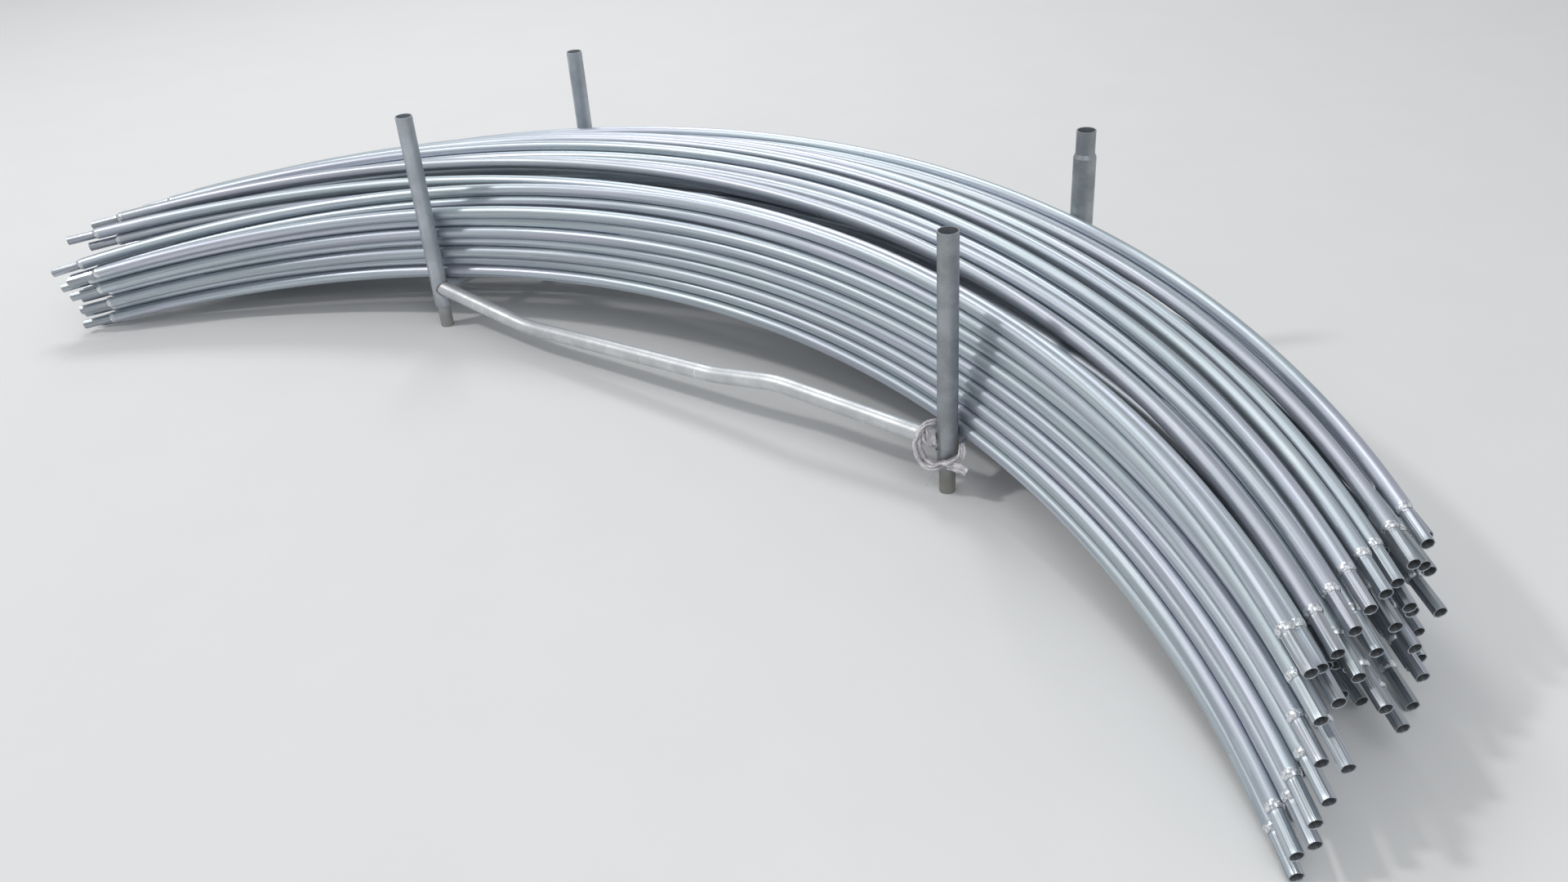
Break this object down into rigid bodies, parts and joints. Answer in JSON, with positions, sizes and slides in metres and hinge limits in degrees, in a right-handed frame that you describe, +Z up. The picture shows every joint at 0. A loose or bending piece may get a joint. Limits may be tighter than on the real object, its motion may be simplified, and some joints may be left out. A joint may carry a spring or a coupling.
{
  "type": "bundle of steel pipes",
  "caption": "Bundle of curved galvanised steel pipes with squeezed ends, nested in courses and crossing, lying in a low welded stacking rack with four open posts.",
  "frame": {"origin": "on the floor, under the middle of the whole bundle's box", "axes": "+X along the rack's front to the right, +Y to the back where the hoops' crowns point, +Z up"},
  "size_m": [3.9544, 1.5333, 0.65],
  "materials": {
    "galvanised_tube": "bright hot-dip galvanised, drawn streaks",
    "rack_steel": "dull galvanised, scuffed",
    "film": "crumpled stretch film"
  },
  "bodies": {
    "root": {"front_left_post": "rack_steel", "front_right_post": "rack_steel", "back_left_post": "rack_steel", "back_right_post": "rack_steel", "left_cross_bar": "rack_steel", "right_cross_bar": "rack_steel", "front_rail": "rack_steel", "rear_rail": "rack_steel", "film_tie": "film", "hoops_course_1": "galvanised_tube", "hoops_course_2": "galvanised_tube", "hoops_course_3": "galvanised_tube", "hoops_course_4": "galvanised_tube", "hoops_course_5": "galvanised_tube", "hoops_course_6": "galvanised_tube", "hoops_course_7": "galvanised_tube", "hoops_course_8": "galvanised_tube", "hoops_course_9": "galvanised_tube"}
  },
  "joints": []
}
